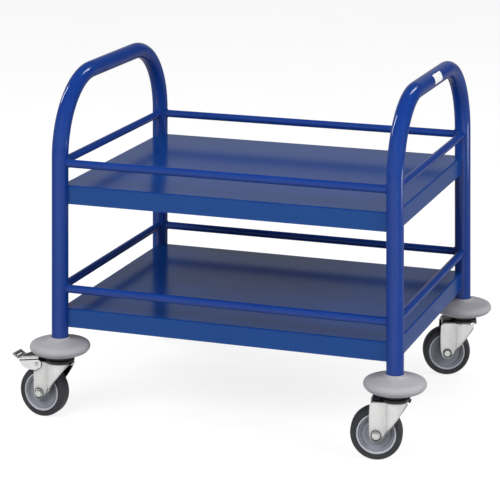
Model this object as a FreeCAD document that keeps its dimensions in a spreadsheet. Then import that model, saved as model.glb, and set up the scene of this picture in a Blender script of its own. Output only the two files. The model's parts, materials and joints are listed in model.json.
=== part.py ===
import FreeCAD, Part
import math
import os
import re

import Sketcher

# A two-shelf trolley on four swivel casters, with a bent-tube push handle at each end.
# Millimetres, +Z up, +X along the long side, front at -Y.
# The origin is the centre of the upper shelf's top face. Every body is drawn with z measured
# from the floor, and its Placement takes it down by the deck height.

DIMENSIONS = [
    ("leg_pitch_long", 695, "between the two end frames, axis to axis"),
    ("leg_pitch_wide", 536, "between the two legs of an end frame, axis to axis"),
    ("deck_height", 464, "upper shelf's top above the floor"),
    ("shelf_drop", 246, "from the upper shelf's top to the lower shelf's top"),
    ("tube_outer", 33.7, "end frame tube, outside diameter"),
    ("tube_wall", 2, "end frame tube, wall"),
    ("handle_height", 671.5, "axis of the push handle above the floor"),
    ("bend_radius", 153, "tube bends, to the tube's axis"),
    ("leg_foot", 151, "cut end of the legs above the floor"),
    ("rail_diameter", 16, "round bars between the legs"),
    ("upper_rail_rise", 45, "axis of the upper rails above the upper shelf"),
    ("lower_rail_rise", 40.5, "axis of the lower rails above the lower shelf"),
    ("shelf_long", 696, "shelf, outside"),
    ("shelf_wide", 531, "shelf, outside"),
    ("shelf_rim", 37, "shelf's turned-down rim"),
    ("shelf_sheet", 1.5, "shelf's sheet steel"),
    ("shelf_fold", 3, "outside radius of the shelf's folds"),
    ("label_reach", 55, "label's length along the handle"),
    ("label_film", 0.25, "label's thickness"),
    ("label_turn", 20.6, "label's middle above the handle's outer side, degrees"),
    ("label_wrap", 33.6, "from the label's middle to its edges, degrees"),
    ("running_gap", 0.05, "radial clearance of the pieces that turn"),
    ("kingpin_radius", 6, "swivel bolt's shank"),
    ("kingpin_head", 19, "swivel bolt's head, across the flats"),
    ("kingpin_head_depth", 8, "swivel bolt's head"),
    ("kingpin_top", 189, "end of the swivel bolt above the floor"),
    ("insert_top", 196, "top of the threaded insert in each leg"),
    ("bush_radius", 12, "bush that the bumper turns on"),
    ("bumper_radius", 60.5, "bumper disc, outside"),
    ("bumper_level", 142.5, "height of the bumper's widest ring"),
    ("bumper_foot", 131, "height of the bumper's lower edge"),
    ("bumper_rim", 50, "radius of the bumper's lower edge"),
    ("bumper_shoulder", 52, "radius where the bumper's cone meets its rounded edge"),
    ("shoulder_rise", 8.5, "height of that meeting above the widest ring"),
    ("under_round", 11, "radius of the bumper's edge below its widest ring"),
    ("over_round", 9, "radius of the bumper's edge above its widest ring"),
    ("bumper_skin", 4, "bumper's moulded wall"),
    ("collar_radius", 19.8, "bumper's collar round the leg"),
    ("collar_top", 161.5, "top of the bumper's collar"),
    ("collar_foot", 159.2, "where the collar meets the bumper's cone"),
    ("plate_radius", 23.5, "upper bearing plate"),
    ("plate_top", 130, "upper bearing plate's top"),
    ("plate_foot", 124.5, "upper bearing plate's underside"),
    ("ball_circle", 18, "radius of the ring of swivel balls"),
    ("ball_radius", 3, "swivel ball"),
    ("crown_height", 115.5, "fork's top plate"),
    ("boss_radius", 24, "raised race on the fork's top plate"),
    ("boss_rise", 4, "height of the raised race"),
    ("cover_radius", 28.5, "black dust cover round the swivel bearing"),
    ("cover_wall", 2, "dust cover's wall"),
    ("cover_bead", 0.8, "groove round the dust cover"),
    ("head_radius", 28, "fork's round head"),
    ("fork_width", 45, "over the fork's side plates"),
    ("fork_sheet", 2.5, "fork's pressed sheet"),
    ("fork_toe", 12, "radius of the fork's lower end round the axle"),
    ("toe_turn", 40, "where the leading edge leaves the toe, degrees below the axle"),
    ("fork_brow", 1000, "radius of the fork's leading edge"),
    ("fork_back", 330, "radius of the fork's trailing edge"),
    ("corner_cut", 9, "height of the cut at the fork's upper trailing corner"),
    ("wheel_diameter", 100, "over the tyre"),
    ("wheel_trail", 35, "axle behind the swivel axis"),
    ("tread_width", 32, "tyre"),
    ("tread_round", 7, "rounding of the tyre's shoulders"),
    ("rim_radius", 38, "where the tyre sits on the wheel centre"),
    ("rim_inset", 1.5, "wheel centre's rim, in from the tyre's side"),
    ("rim_lip", 3.5, "width of the wheel centre's rim"),
    ("dish_depth", 5.5, "wheel centre's web, in from its rim"),
    ("hub_play", 1, "between the wheel centre's boss and the fork"),
    ("hub_radius", 11, "wheel centre's boss"),
    ("axle_radius", 4, "axle bolt's shank"),
    ("axle_flats", 13, "axle bolt and nut, across the flats"),
    ("axle_head", 5.3, "axle bolt's head"),
    ("nut_depth", 6.5, "axle nut"),
    ("sleeve_radius", 6, "axle sleeve, outside"),
    ("pivot_back", 40, "brake pedal's pin behind the swivel axis"),
    ("pivot_height", 107.5, "brake pedal's pin above the floor"),
    ("pin_radius", 3, "brake pedal's pin"),
    ("pin_head_radius", 4.5, "rivet heads of the brake pedal's pin"),
    ("pin_head_depth", 1.7, "rivet heads of the brake pedal's pin"),
    ("spring_wire", 1.4, "brake spring's wire, diameter"),
    ("spring_pitch", 2, "brake spring's coils, one to the next"),
    ("spring_turns", 7.25, "brake spring's coils"),
    ("pedal_width", 50, "over the brake pedal's side plates"),
    ("pedal_sheet", 2, "brake pedal's sheet"),
    ("pedal_start", 36, "inner end of the pedal's top plate, behind the swivel axis"),
    ("pedal_end", 80, "outer end of the pedal's top plate, behind the swivel axis"),
    ("pedal_top", 13, "inner end of the pedal's top plate, above its pin"),
    ("pedal_fall", 7.5, "drop of the top plate to its outer end"),
    ("pedal_skirt", 12.5, "lowest point of the pedal's side plates, below its pin"),
    ("skirt_start", 43, "inner end of the side plates' lower edge, behind the swivel axis"),
    ("skirt_end", 57, "outer end of the side plates' lower edge, behind the swivel axis"),
    ("skirt_round", 40, "radius of the side plates' outer edge"),
    ("pedal_front", 10, "from the pedal's pin to the front of its side plates"),
    ("hump_start", 44, "inner end of the black moulding, behind the swivel axis"),
    ("hump_middle", 59, "highest point of the black moulding, behind the swivel axis"),
    ("hump_rise", 4, "height of the moulding's hump over the top plate"),
    ("hump_round", 40, "radius of the hump"),
    ("foot_pad_width", 31, "black moulding on the brake pedal"),
    ("foot_pad_start", 87.5, "inner edge of the sloping foot pad, behind the swivel axis"),
    ("foot_pad_end", 101.5, "outer edge of the foot pad, behind the swivel axis"),
    ("foot_pad_low", 3.2, "inner edge of the foot pad's top above the pedal's pin"),
    ("foot_pad_rise", 7.5, "height gained along the foot pad"),
    ("foot_pad_depth", 3.5, "foot pad's thickness"),
    ("shoe_start", 50, "brake shoe's inner face, behind the swivel axis"),
    ("shoe_end", 66, "brake shoe's outer face, behind the swivel axis"),
    ("shoe_inner_drop", 7.15, "brake shoe's inner corner below the pedal's pin"),
    ("shoe_outer_drop", 10.75, "brake shoe's outer corner below the pedal's pin"),
    ("shoe_gap", 0.2, "brake shoe's curve over the tyre's radius"),
    ("front_left_swivel", 355, "caster's turn about its kingpin, degrees"),
    ("front_right_swivel", 12.45, "caster's turn about its kingpin, degrees"),
    ("rear_left_swivel", 265, "caster's turn about its kingpin, degrees"),
    ("rear_right_swivel", 19.45, "caster's turn about its kingpin, degrees"),
]
ALIASES = {alias for alias, _, _ in DIMENSIONS}

# Each corner's side of the trolley along X and Y.
CORNERS = {
    "front_left": (-1, -1),
    "front_right": (1, -1),
    "rear_left": (-1, 1),
    "rear_right": (1, 1),
}
BRAKED = ("front_left", "rear_left")
BALLS_PER_CASTER = 12

doc = FreeCAD.newDocument("trolley")
sizes = doc.addObject("Spreadsheet::Sheet", "sizes")
for row, (alias, number, meaning) in enumerate(DIMENSIONS, start=1):
    sizes.set(f"A{row}", alias)
    sizes.set(f"B{row}", str(number))
    sizes.set(f"C{row}", meaning)
    sizes.setAlias(f"B{row}", alias)
doc.recompute()

sub_parts = []


# ---------------------------------------------------------------- formulas, sketches, features


def formula(text):
    """The text with each size's alias pointed at the sheet."""
    return re.sub(
        r"[a-z_]+",
        lambda word: "sizes." + word.group() if word.group() in ALIASES else word.group(),
        text,
    )


def value(text):
    """The number that a formula comes to."""
    return float(sizes.evalExpression(formula(text)))


def bind(item, name, text):
    """Ties a property or a constraint to a formula over the sheet."""
    item.setExpression(name, formula(text))


def keep(item, label):
    """Marks a finished sub-part, whose label names its file."""
    item.Label = label
    sub_parts.append(item)
    return item


def lower_to_deck(item):
    bind(item, "Placement.Base.z", "-deck_height")


def stand_at(item, corner, swivel=False):
    """Places an item on a corner's leg axis, turned with its caster if asked."""
    along, across = CORNERS[corner]
    bind(item, "Placement.Base.x", f"{along} * leg_pitch_long / 2")
    bind(item, "Placement.Base.y", f"{across} * leg_pitch_wide / 2")
    lower_to_deck(item)
    if swivel:
        bind(item, "Placement.Rotation.Angle", f"{corner}_swivel * 1 deg")


def new_body(label):
    body = doc.addObject("PartDesign::Body", label)
    lower_to_deck(body)
    return keep(body, label)


def corner_body(label, corner, swivel=True):
    body = new_body(f"{label}_{corner}")
    stand_at(body, corner, swivel)
    return body


def new_sketch(body, name, role, shift_x="0", shift_y="0", lift="0"):
    """A sketch on one of the body's origin planes, shifted in its own directions."""
    sketch = body.newObject("Sketcher::SketchObject", f"{body.Name}_{name}")
    plane = [item for item in body.Origin.OriginFeatures if item.Role == role][0]
    sketch.AttachmentSupport = [(plane, "")]
    sketch.MapMode = "FlatFace"
    for direction, text in (("x", shift_x), ("y", shift_y), ("z", lift)):
        if text != "0":
            bind(sketch, f"AttachmentOffset.Base.{direction}", text)
    return sketch


def pin_point(sketch, piece, end, across, up):
    """Holds a sketch point at two formulas."""
    for kind, text, axis in (("DistanceX", across, -2), ("DistanceY", up, -1)):
        if text == "0":
            sketch.addConstraint(Sketcher.Constraint("PointOnObject", piece, end, axis))
            continue
        number = sketch.addConstraint(Sketcher.Constraint(kind, piece, end, value(text)))
        bind(sketch, f"Constraints[{number}]", text)


def add_circle(sketch, across, up, radius):
    centre = FreeCAD.Vector(value(across), value(up), 0)
    circle = Part.Circle(centre, FreeCAD.Vector(0, 0, 1), value(radius))
    piece = sketch.addGeometry(circle, False)
    if across == "0" and up == "0":
        sketch.addConstraint(Sketcher.Constraint("Coincident", piece, 3, -1, 1))
    else:
        pin_point(sketch, piece, 3, across, up)
    number = sketch.addConstraint(Sketcher.Constraint("Radius", piece, value(radius)))
    bind(sketch, f"Constraints[{number}]", radius)


def arc_between(first, last, radius, left):
    """The short arc between two points, turning left or right, and its start and end."""
    chord = last - first
    middle = (first + last) / 2
    height = math.sqrt(max(radius**2 - (chord.Length / 2) ** 2, 0))
    normal = FreeCAD.Vector(-chord.y, chord.x, 0).normalize()
    centre = middle + normal * (height if left else -height)
    circle = Part.Circle(centre, FreeCAD.Vector(0, 0, 1), radius)
    start, end = (first, last) if left else (last, first)
    angles = [math.atan2(p.y - centre.y, p.x - centre.x) for p in (start, end)]
    return Part.ArcOfCircle(circle, angles[0], angles[1])


def add_outline(sketch, corners, closed=True):
    """Straight sides and arcs through the corners. A corner is (across, up), or
    (across, up, radius, "left" or "right") when an arc leads to it from the corner before."""
    points = [FreeCAD.Vector(value(c[0]), value(c[1]), 0) for c in corners]
    steps = range(len(corners)) if closed else range(1, len(corners))
    ends = {}
    for step in steps:
        first, last = points[step - 1], points[step]
        if len(corners[step]) == 2:
            piece = sketch.addGeometry(Part.LineSegment(first, last), False)
            ends[step] = (piece, 1, 2)
            continue
        left = corners[step][3] == "left"
        arc = arc_between(first, last, value(corners[step][2]), left)
        piece = sketch.addGeometry(arc, False)
        ends[step] = (piece, 1, 2) if left else (piece, 2, 1)
        number = sketch.addConstraint(
            Sketcher.Constraint("Radius", piece, value(corners[step][2]))
        )
        bind(sketch, f"Constraints[{number}]", corners[step][2])
    for step in steps:
        piece, _, last_end = ends[step]
        pin_point(sketch, piece, last_end, corners[step][0], corners[step][1])
        follower = ends.get((step + 1) % len(corners))
        if follower and (closed or step + 1 < len(corners)):
            sketch.addConstraint(
                Sketcher.Constraint("Coincident", piece, last_end, follower[0], follower[1])
            )
    if not closed:
        piece, first_end, _ = ends[1]
        pin_point(sketch, piece, first_end, corners[0][0], corners[0][1])


def add_hexagon(sketch, across, up, flats):
    """A hexagon with two corners level with its centre."""
    reach = f"({flats}) / sqrt(3)"
    turns = ((1, 0), (0.5, 0.5), (-0.5, 0.5), (-1, 0), (-0.5, -0.5), (0.5, -0.5))
    add_outline(
        sketch,
        [
            (f"{across} + {x} * {reach}", f"{up} + {y} * ({flats})" if y else up)
            for x, y in turns
        ],
    )


def pad(body, sketch, length, side="Symmetric", backwards=False):
    feature = body.newObject("PartDesign::Pad", f"{sketch.Name}_pad")
    feature.Profile = (sketch, [""])
    feature.SideType = side
    feature.Reversed = backwards
    bind(feature, "Length", length)
    return feature


def cut(body, feature_type, sketch, settle):
    """Adds a feature that removes material, and stops if it removes none."""
    doc.recompute()
    before = body.Shape.Volume
    feature = body.newObject(feature_type, f"{sketch.Name}_cut")
    feature.Profile = (sketch, [""])
    settle(feature)
    doc.recompute()
    if body.Shape.Volume > before - 0.01:
        raise RuntimeError(f"{sketch.Name} cuts nothing")
    return feature


def pocket(body, sketch, length, side="Symmetric", backwards=False):
    def settle(feature):
        feature.SideType = side
        feature.Reversed = backwards
        bind(feature, "Length", length)

    return cut(body, "PartDesign::Pocket", sketch, settle)


def whole_turn(feature, sketch):
    feature.ReferenceAxis = (sketch, ["V_Axis"])
    feature.Angle = 360


def revolve(body, sketch):
    feature = body.newObject("PartDesign::Revolution", f"{sketch.Name}_turn")
    feature.Profile = (sketch, [""])
    whole_turn(feature, sketch)
    return feature


def groove(body, sketch):
    return cut(
        body, "PartDesign::Groove", sketch, lambda feature: whole_turn(feature, sketch)
    )


# ---------------------------------------------------------------- welded frame


def make_end_frame(label, side):
    """One tube bent into an upside-down U: two legs and the push handle."""
    body = new_body(label)
    bind(body, "Placement.Base.x", f"{side} * leg_pitch_long / 2")
    half, bend = "leg_pitch_wide / 2", "bend_radius"
    path = new_sketch(body, "path", "YZ_Plane")
    add_outline(
        path,
        [
            (f"-{half}", "leg_foot"),
            (f"-{half}", f"handle_height - {bend}"),
            (f"-{half} + {bend}", "handle_height", bend, "right"),
            (f"{half} - {bend}", "handle_height"),
            (half, f"handle_height - {bend}", bend, "right"),
            (half, "leg_foot"),
        ],
        closed=False,
    )
    ring = new_sketch(body, "ring", "XY_Plane", lift="leg_foot")
    for radius in ("tube_outer / 2", "tube_outer / 2 - tube_wall"):
        add_circle(ring, "0", f"-{half}", radius)
    pipe = body.newObject("PartDesign::AdditivePipe", f"{label}_pipe")
    pipe.Profile = (ring, [""])
    pipe.Spine = (path, [""])


def make_rail(label, height, front_or_left, lengthways):
    """A round bar between two legs, its ends shaped to the tubes it is welded to."""
    body = new_body(label)
    plane = "YZ_Plane" if lengthways else "XZ_Plane"
    reach, offset = "leg_pitch_long", "leg_pitch_wide"
    if not lengthways:
        reach, offset = offset, reach
    bar = new_sketch(body, "bar", plane)
    place = f"{front_or_left} * {offset} / 2"
    add_circle(bar, place, height, "rail_diameter / 2")
    pad(body, bar, reach)
    legs = new_sketch(body, "legs", "XY_Plane")
    for end in (-1, 1):
        ends = (f"{end} * {reach} / 2", place)
        across, up = ends if lengthways else ends[::-1]
        add_circle(legs, across, up, "tube_outer / 2")
    pocket(body, legs, "3 * handle_height")


def make_shelf(label, top):
    """A steel tray, open side down, notched at its corners to fit round the legs."""
    body = new_body(label)
    blank = new_sketch(body, "blank", "XY_Plane", lift=f"{top} - shelf_rim")
    x, y = "shelf_long / 2", "shelf_wide / 2"
    rectangle = [(f"-{x}", f"-{y}"), (x, f"-{y}"), (x, y), (f"-{x}", y)]
    add_outline(blank, rectangle)
    block = pad(body, blank, "shelf_rim", "One side")
    doc.recompute()
    top_edges = [
        f"Edge{number}"
        for number, edge in enumerate(block.Shape.Edges, start=1)
        if edge.BoundBox.ZMin > value(top) - 0.1
    ]
    fold = body.newObject("PartDesign::Fillet", f"{label}_fold")
    fold.Base = (block, top_edges)
    bind(fold, "Radius", "shelf_fold")
    doc.recompute()
    underside = [
        f"Face{number}"
        for number, face in enumerate(fold.Shape.Faces, start=1)
        if face.BoundBox.ZMax < value(f"{top} - shelf_rim") + 0.1
    ]
    tray = body.newObject("PartDesign::Thickness", f"{label}_tray")
    tray.Base = (fold, underside)
    tray.Reversed = True
    bind(tray, "Value", "shelf_sheet")
    notches = new_sketch(body, "notches", "XY_Plane")
    for along, across in CORNERS.values():
        add_circle(
            notches,
            f"{along} * leg_pitch_long / 2",
            f"{across} * leg_pitch_wide / 2",
            "tube_outer / 2",
        )
    pocket(body, notches, "3 * deck_height")


def make_handle_label():
    """A blank white film on the outer side of the right handle."""
    body = new_body("handle_label")
    bind(body, "Placement.Base.x", "leg_pitch_long / 2")
    inner, outer = "(tube_outer / 2)", "(tube_outer / 2 + label_film)"
    low, high = "((label_turn - label_wrap) * 1 deg)", "((label_turn + label_wrap) * 1 deg)"
    film = new_sketch(body, "film", "XZ_Plane")
    add_outline(
        film,
        [
            (f"{inner} * cos{low}", f"handle_height + {inner} * sin{low}", inner, "right"),
            (f"{outer} * cos{low}", f"handle_height + {outer} * sin{low}"),
            (f"{outer} * cos{high}", f"handle_height + {outer} * sin{high}", outer, "left"),
            (f"{inner} * cos{high}", f"handle_height + {inner} * sin{high}"),
        ],
    )
    pad(body, film, "label_reach")


# ---------------------------------------------------------------- leg ends and swivel bearings


def upright(name, radius, low, high):
    """A cylinder on the leg's axis between two heights."""
    piece = doc.addObject("Part::Cylinder", name)
    bind(piece, "Radius", radius)
    bind(piece, "Height", f"({high}) - ({low})")
    bind(piece, "Placement.Base.z", low)
    return piece


def bored(name, blank, hole):
    piece = doc.addObject("Part::Cut", name)
    piece.Base = blank
    piece.Tool = hole
    return piece


def tube_piece(name, outer, inner, low, high):
    blank = upright(f"{name}_blank", outer, low, high)
    return bored(name, blank, upright(f"{name}_hole", inner, low, high))


def group_at_corners(label, make):
    """Four copies of one piece, a solid at each corner, kept as one sub-part."""
    pieces = []
    for corner in CORNERS:
        piece = make(f"{label}_{corner}")
        stand_at(piece, corner)
        pieces.append(piece)
    group = doc.addObject("Part::Compound", label)
    group.Links = pieces
    keep(group, label)


def leg_insert(name):
    """Threaded plug pressed into the cut end of a leg."""
    return tube_piece(
        name,
        "tube_outer / 2 - tube_wall - running_gap",
        "kingpin_radius + running_gap",
        "leg_foot",
        "insert_top",
    )


def bumper_bush(name):
    """Bush clamped between the leg and the bearing plate. The bumper turns on it."""
    return tube_piece(
        name, "bush_radius", "kingpin_radius + running_gap", "plate_top", "leg_foot"
    )


def bearing_plate(name):
    """Fixed upper half of the swivel bearing, with the balls' track underneath."""
    disc = tube_piece(
        f"{name}_disc",
        "plate_radius",
        "kingpin_radius + running_gap",
        "plate_foot",
        "plate_top",
    )
    track = doc.addObject("Part::Torus", f"{name}_track")
    bind(track, "Radius1", "ball_circle")
    bind(track, "Radius2", "ball_radius + running_gap")
    bind(track, "Placement.Base.z", "(plate_foot + crown_height + boss_rise) / 2")
    return bored(name, disc, track)


def kingpin(name):
    """Hexagon bolt up through the fork into the leg's insert."""
    head_top = "crown_height - fork_sheet - 6 * running_gap"
    shank = upright(f"{name}_shank", "kingpin_radius", head_top, "kingpin_top")
    head = doc.addObject("Part::Prism", f"{name}_head")
    head.Polygon = 6
    bind(head, "Circumradius", "kingpin_head / sqrt(3)")
    bind(head, "Height", "kingpin_head_depth")
    bind(head, "Placement.Base.z", f"{head_top} - kingpin_head_depth")
    bolt = doc.addObject("Part::Fuse", name)
    bolt.Base = shank
    bolt.Tool = head
    return bolt


def make_swivel_balls():
    """The ring of balls in each swivel bearing."""
    balls = []
    for corner, (along, across) in CORNERS.items():
        for number in range(BALLS_PER_CASTER):
            turn = number * 360 / BALLS_PER_CASTER
            ball = doc.addObject("Part::Sphere", f"ball_{corner}_{number}")
            bind(ball, "Radius", "ball_radius")
            bind(
                ball,
                "Placement.Base.x",
                f"{along} * leg_pitch_long / 2 + ball_circle * cos({turn} deg)",
            )
            bind(
                ball,
                "Placement.Base.y",
                f"{across} * leg_pitch_wide / 2 + ball_circle * sin({turn} deg)",
            )
            bind(
                ball,
                "Placement.Base.z",
                "(plate_foot + crown_height + boss_rise) / 2 - deck_height",
            )
            balls.append(ball)
    group = doc.addObject("Part::Compound", "swivel_balls")
    group.Links = balls
    keep(group, "swivel_balls")


def make_bumper(corner):
    """Round plastic bumper that turns on its bush, hollow underneath, collar on top."""
    body = corner_body("bumper", corner, swivel=False)
    clear = "4 * running_gap"
    bore, recess = "bush_radius + running_gap", f"tube_outer / 2 + 2 * {clear}"
    boss, rim = "collar_radius + bumper_skin / 2", "bumper_rim - bumper_skin"
    shoulder = "bumper_level + shoulder_rise"
    section = new_sketch(body, "section", "XZ_Plane")
    add_outline(
        section,
        [
            (bore, f"plate_top + {clear}"),
            (boss, f"plate_top + {clear}"),
            (boss, "collar_foot - bumper_skin"),
            (rim, f"{shoulder} - bumper_skin"),
            (rim, "bumper_foot"),
            ("bumper_rim", "bumper_foot"),
            ("bumper_radius", "bumper_level", "under_round", "left"),
            ("bumper_shoulder", shoulder, "over_round", "left"),
            ("collar_radius", "collar_foot"),
            ("collar_radius", "collar_top"),
            (recess, "collar_top"),
            (recess, f"leg_foot - {clear}"),
            (bore, f"leg_foot - {clear}"),
        ],
    )
    revolve(body, section)


# ---------------------------------------------------------------- caster forks


def make_fork(corner):
    """Pressed fork: a round head with a raised ball race, and two side plates to the axle.
    The wheel trails towards -X before the caster is turned."""
    body = corner_body("fork", corner)
    toe = "(wheel_diameter / 2 - fork_toe)"
    tail = "(wheel_trail + fork_toe)"
    spare = "fork_toe"

    head = new_sketch(body, "head", "XY_Plane", lift=toe)
    add_circle(head, "0", "0", "head_radius")
    pad(body, head, f"crown_height - {toe}", "One side")
    sides = new_sketch(body, "sides", "XY_Plane", lift=toe)
    add_outline(sides, rectangle_back(f"{tail} + {spare} / 2", "fork_width / 2"))
    pad(body, sides, f"crown_height - {toe}", "One side")

    hollow = new_sketch(body, "hollow", "XY_Plane", lift=toe)
    add_circle(hollow, "0", "0", "head_radius - fork_sheet")
    pocket(body, hollow, f"crown_height - fork_sheet - {toe}", "One side", backwards=True)
    gap = new_sketch(body, "gap", "XY_Plane", lift=toe)
    add_outline(gap, rectangle_back(f"{tail} + {spare}", "fork_width / 2 - fork_sheet"))
    pocket(body, gap, f"crown_height - fork_sheet - {toe}", "One side", backwards=True)

    # Leading edge: from the head down to the toe round the axle.
    edge = new_sketch(body, "edge", "XZ_Plane")
    toe_x = "-wheel_trail + fork_toe * cos(toe_turn * 1 deg)"
    toe_z = "wheel_diameter / 2 - fork_toe * sin(toe_turn * 1 deg)"
    add_outline(
        edge,
        [
            (f"head_radius + {spare}", "crown_height - fork_sheet"),
            ("head_radius", "crown_height - fork_sheet"),
            (toe_x, toe_z, "fork_brow", "right"),
            ("-wheel_trail", toe, "fork_toe", "right"),
            (f"-{tail}", "wheel_diameter / 2", "fork_toe", "right"),
            (f"-{tail} - {spare}", "wheel_diameter / 2"),
            (f"-{tail} - {spare}", f"{toe} - {spare}"),
            (f"head_radius + {spare}", f"{toe} - {spare}"),
        ],
    )
    pocket(body, edge, "2 * fork_width")

    # Trailing edge, with its upper corner cut off.
    back = new_sketch(body, "back", "XZ_Plane")
    add_outline(
        back,
        [
            (f"-{tail} - {spare}", "wheel_diameter / 2"),
            (f"-{tail}", "wheel_diameter / 2"),
            (f"-{tail}", "crown_height - corner_cut", "fork_back", "right"),
            (f"-{tail} + corner_cut / 2", "crown_height"),
            (f"-{tail} - {spare}", "crown_height"),
        ],
    )
    pocket(body, back, "2 * fork_width")

    boss = new_sketch(body, "boss", "XY_Plane", lift="crown_height")
    add_circle(boss, "0", "0", "boss_radius")
    pad(body, boss, "boss_rise", "One side")
    track = new_sketch(body, "track", "XZ_Plane")
    add_circle(
        track,
        "ball_circle",
        "(plate_foot + crown_height + boss_rise) / 2",
        "ball_radius + running_gap",
    )
    groove(body, track)
    hole = new_sketch(body, "hole", "XY_Plane", lift="crown_height")
    add_circle(hole, "0", "0", "kingpin_radius + running_gap")
    pocket(body, hole, "4 * boss_rise")

    axle = new_sketch(body, "axle", "XZ_Plane")
    add_circle(axle, "-wheel_trail", "wheel_diameter / 2", "axle_radius + running_gap")
    pocket(body, axle, "2 * fork_width")
    if corner in BRAKED:
        pivot = new_sketch(body, "pivot", "XZ_Plane")
        add_circle(pivot, "-pivot_back", "pivot_height", "pin_radius + running_gap")
        pocket(body, pivot, "2 * fork_width")


def rectangle_back(reach, half_width):
    """A rectangle from the swivel axis back towards the wheel's side."""
    return [
        (f"-({reach})", f"-({half_width})"),
        ("0", f"-({half_width})"),
        ("0", half_width),
        (f"-({reach})", half_width),
    ]


def make_dust_cover(corner):
    """Black ring round the swivel bearing, clipped over the raised race."""
    body = corner_body("dust_cover", corner)
    inner, wide = "boss_radius + running_gap", "cover_radius - cover_wall"
    foot, top = "crown_height + running_gap", "plate_top - cover_bead / 2"
    middle = f"({foot} + {top}) / 2"
    section = new_sketch(body, "section", "XZ_Plane")
    add_outline(
        section,
        [
            (inner, foot),
            ("cover_radius", foot),
            ("cover_radius", f"{middle} - cover_bead"),
            ("cover_radius - cover_bead", middle),
            ("cover_radius", f"{middle} + cover_bead"),
            ("cover_radius", top),
            (wide, top),
            (wide, f"{foot} + boss_rise + cover_bead"),
            (inner, f"{foot} + boss_rise"),
        ],
    )
    revolve(body, section)


# ---------------------------------------------------------------- wheels


def wheel_sketch(body, name):
    """A sketch whose vertical axis is the wheel's axle."""
    return new_sketch(
        body, name, "XY_Plane", shift_x="-wheel_trail", lift="wheel_diameter / 2"
    )


def make_wheel_centre(corner):
    """Plastic wheel centre, dished on both sides, running on the axle sleeve."""
    body = corner_body("wheel_centre", corner)
    face = "fork_width / 2 - fork_sheet - hub_play"
    rim, web = "tread_width / 2 - rim_inset", "tread_width / 2 - rim_inset - dish_depth"
    half = [
        ("rim_radius", rim),
        ("rim_radius - rim_lip", rim),
        ("rim_radius - 2 * rim_lip", web),
        ("hub_radius + rim_lip", web),
        ("hub_radius", face),
        ("sleeve_radius + running_gap", face),
    ]
    section = wheel_sketch(body, "section")
    mirrored = [(across, f"-({up})") for across, up in reversed(half)]
    add_outline(section, half + mirrored)
    revolve(body, section)


def make_tyre(corner):
    """Solid tyre with rounded shoulders."""
    body = corner_body("tyre", corner)
    rim, side = "tread_width / 2 - rim_inset", "tread_width / 2"
    tread = "wheel_diameter / 2"
    section = wheel_sketch(body, "section")
    add_outline(
        section,
        [
            ("rim_radius", f"-({rim})"),
            (f"{tread} - tread_round", f"-{side}"),
            (tread, f"-{side} + tread_round", "tread_round", "left"),
            (tread, f"{side} - tread_round"),
            (f"{tread} - tread_round", side, "tread_round", "left"),
            ("rim_radius", rim),
        ],
    )
    revolve(body, section)


def make_axle_sleeve(corner):
    """Steel sleeve clamped between the fork's plates."""
    body = corner_body("axle_sleeve", corner)
    ring = new_sketch(body, "ring", "XZ_Plane")
    add_circle(ring, "-wheel_trail", "wheel_diameter / 2", "sleeve_radius")
    add_circle(ring, "-wheel_trail", "wheel_diameter / 2", "axle_radius + running_gap")
    pad(body, ring, "fork_width - 2 * fork_sheet")


def make_axle_bolt(corner):
    body = corner_body("axle_bolt", corner)
    shank = new_sketch(body, "shank", "XZ_Plane", lift="fork_width / 2")
    add_circle(shank, "-wheel_trail", "wheel_diameter / 2", "axle_radius")
    reach = "fork_width + nut_depth + axle_radius / 2"
    pad(body, shank, reach, "One side", backwards=True)
    head = new_sketch(body, "head", "XZ_Plane", lift="fork_width / 2")
    add_hexagon(head, "-wheel_trail", "wheel_diameter / 2", "axle_flats")
    pad(body, head, "axle_head", "One side")


def make_axle_nut(corner):
    body = corner_body("axle_nut", corner)
    nut = new_sketch(body, "nut", "XZ_Plane", lift="-fork_width / 2")
    add_hexagon(nut, "-wheel_trail", "wheel_diameter / 2", "axle_flats")
    add_circle(nut, "-wheel_trail", "wheel_diameter / 2", "axle_radius + running_gap")
    pad(body, nut, "nut_depth", "One side", backwards=True)


# ---------------------------------------------------------------- brakes


def make_brake_pin(corner):
    """Rivet through the fork that the pedal turns on."""
    body = corner_body("brake_pin", corner)
    reach = "pedal_width / 2 + 2 * running_gap"
    shank = new_sketch(body, "shank", "XZ_Plane")
    add_circle(shank, "-pivot_back", "pivot_height", "pin_radius")
    pad(body, shank, f"2 * ({reach})")
    for name, lift, backwards in (("near", reach, False), ("far", f"-({reach})", True)):
        head = new_sketch(body, name, "XZ_Plane", lift=lift)
        add_circle(head, "-pivot_back", "pivot_height", "pin_head_radius")
        pad(body, head, "pin_head_depth", "One side", backwards)


def make_brake_spring(corner):
    """Coil round the brake pin, between the fork's plates, that lifts the pedal."""
    body = corner_body("brake_spring", corner)
    wire = new_sketch(
        body, "wire", "XY_Plane", shift_x="-pivot_back", lift="pivot_height"
    )
    add_circle(
        wire,
        "pin_radius + spring_wire",
        "-spring_pitch * spring_turns / 2",
        "spring_wire / 2",
    )
    coil = body.newObject("PartDesign::AdditiveHelix", f"{body.Name}_coil")
    coil.Profile = (wire, [""])
    coil.ReferenceAxis = (wire, ["V_Axis"])
    coil.Mode = "pitch-turns-angle"
    bind(coil, "Pitch", "spring_pitch")
    bind(coil, "Turns", "spring_turns")


def plate_top(back):
    """Height of the pedal's sloping top plate at a distance behind the swivel axis."""
    slope = "pedal_fall / (pedal_end - pedal_start)"
    return f"(pivot_height + pedal_top - ({back} - pedal_start) * {slope})"


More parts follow.
